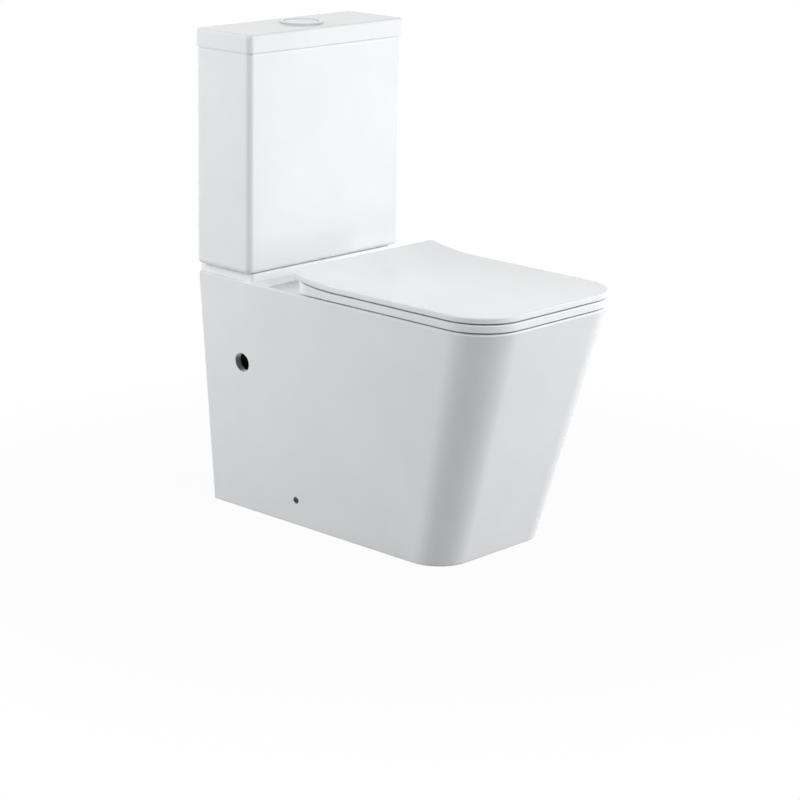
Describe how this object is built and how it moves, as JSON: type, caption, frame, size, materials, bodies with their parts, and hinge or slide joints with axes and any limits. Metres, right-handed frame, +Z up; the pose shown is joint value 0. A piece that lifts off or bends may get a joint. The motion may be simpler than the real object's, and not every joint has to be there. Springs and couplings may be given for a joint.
{
  "type": "rimless toilet",
  "caption": "Close-coupled rimless toilet with a square tapered skirted pan, slim soft-close seat and cover, and a dual-flush cistern with its valves.",
  "frame": {"origin": "on the floor, midway between the two sides and between the pan's front and the wall", "axes": "+Z up, +Y to the wall, +X to the right of someone who looks at the front"},
  "size_m": [0.373, 0.65, 0.835],
  "materials": {
    "ceramic": "white vitreous glaze, glossy",
    "seat_plastic": "white moulded seat resin, glossy",
    "hinge_chrome": "polished chrome plate",
    "button_chrome": "polished chrome plate",
    "steel": "plain stainless steel",
    "nylon": "natural white nylon",
    "black_rubber": "black rubber",
    "foam_rubber": "black foam rubber",
    "pad_rubber": "pale soft rubber",
    "valve_plastic": "white moulded plastic",
    "lever_plastic": "grey-blue moulded plastic",
    "float_plastic": "grey moulded plastic"
  },
  "bodies": {
    "toilet_base": {"pan": "ceramic", "pan_skirt_front": "ceramic", "pan_skirt_sides": "ceramic", "pan_bowl": "ceramic", "pan_trapway": "ceramic", "pan_flush_duct": "ceramic", "hinge_posts": "hinge_chrome", "hinge_pins": "steel", "hinge_studs": "steel", "hinge_washers": "black_rubber", "hinge_wing_nuts": "nylon", "cistern_tank": "ceramic", "flush_valve_body": "valve_plastic", "lever_pins": "steel", "flush_valve_washer": "black_rubber", "flush_valve_backnut": "nylon", "coupling_doughnut": "foam_rubber", "fill_valve_body": "valve_plastic", "fill_valve_head": "lever_plastic", "float_lever_pin": "steel", "fill_valve_washer": "black_rubber", "fill_valve_backnut": "nylon", "coupling_bolts": "steel", "coupling_bolt_washers": "black_rubber", "coupling_plate_washers": "steel", "coupling_wing_nuts": "steel"},
    "seat": {"seat_ring": "seat_plastic", "seat_buffers": "pad_rubber"},
    "cover": {"seat_cover": "seat_plastic", "cover_buffers": "pad_rubber"},
    "lid": {"cistern_lid": "ceramic", "button_housing": "button_chrome", "button_housing_nut": "nylon"},
    "full_button": {"full_flush_button": "button_chrome", "full_flush_rod": "valve_plastic"},
    "half_button": {"half_flush_button": "button_chrome", "half_flush_rod": "valve_plastic"},
    "full_lever": {"full_flush_lever": "lever_plastic"},
    "half_lever": {"half_flush_lever": "lever_plastic"},
    "lift_tube": {"overflow_tube": "valve_plastic", "lift_yoke": "lever_plastic", "flush_seal": "black_rubber"},
    "float": {"float_cup": "float_plastic", "float_link": "valve_plastic"},
    "float_arm": {"float_lever": "lever_plastic"}
  },
  "joints": [
    {"name": "seat_hinge", "type": "hinge", "parent": "toilet_base", "child": "seat", "pos_m": [0, 0.1, 0.432], "axis": [1, 0, 0], "range_deg": [-97, 0]},
    {"name": "cover_hinge", "type": "hinge", "parent": "seat", "child": "cover", "pos_m": [0, 0.1, 0.432], "axis": [-1, 0, 0], "range_deg": [0, 101]},
    {"name": "lid_lift", "type": "slide", "parent": "toilet_base", "child": "lid", "axis": [0, 0, 1], "range_m": [0, 0.25]},
    {"name": "full_flush_press", "type": "slide", "parent": "lid", "child": "full_button", "axis": [0, 0, -1], "range_m": [0, 0.006], "stiffness_N_per_m": 300, "springref_m": -0.006},
    {"name": "half_flush_press", "type": "slide", "parent": "lid", "child": "half_button", "axis": [0, 0, -1], "range_m": [0, 0.006], "stiffness_N_per_m": 300, "springref_m": -0.006},
    {"name": "full_lever_turn", "type": "hinge", "parent": "toilet_base", "child": "full_lever", "pos_m": [-0.02, 0.259, 0.7325], "axis": [1, 0, 0], "range_deg": [0, 23.2]},
    {"name": "half_lever_turn", "type": "hinge", "parent": "toilet_base", "child": "half_lever", "pos_m": [0.02, 0.259, 0.7325], "axis": [1, 0, 0], "range_deg": [0, 23.2]},
    {"name": "valve_lift", "type": "slide", "parent": "toilet_base", "child": "lift_tube", "axis": [0, 0, 1], "range_m": [0, 0.0106]},
    {"name": "float_travel", "type": "slide", "parent": "toilet_base", "child": "float", "axis": [0, 0, 1], "range_m": [0, 0.01]},
    {"name": "float_lever_turn", "type": "hinge", "parent": "toilet_base", "child": "float_arm", "pos_m": [0.131, 0.259, 0.741], "axis": [0, 1, 0], "range_deg": [0, 18.2]}
  ],
  "couplings": [
    {"joint": "full_lever_turn", "follows": "full_flush_press", "rad_per_m": 66.667},
    {"joint": "half_lever_turn", "follows": "half_flush_press", "rad_per_m": 66.667},
    {"joint": "valve_lift", "follows": "full_flush_press", "ratio": 1.7333},
    {"joint": "float_lever_turn", "follows": "float_travel", "rad_per_m": 31.25}
  ]
}
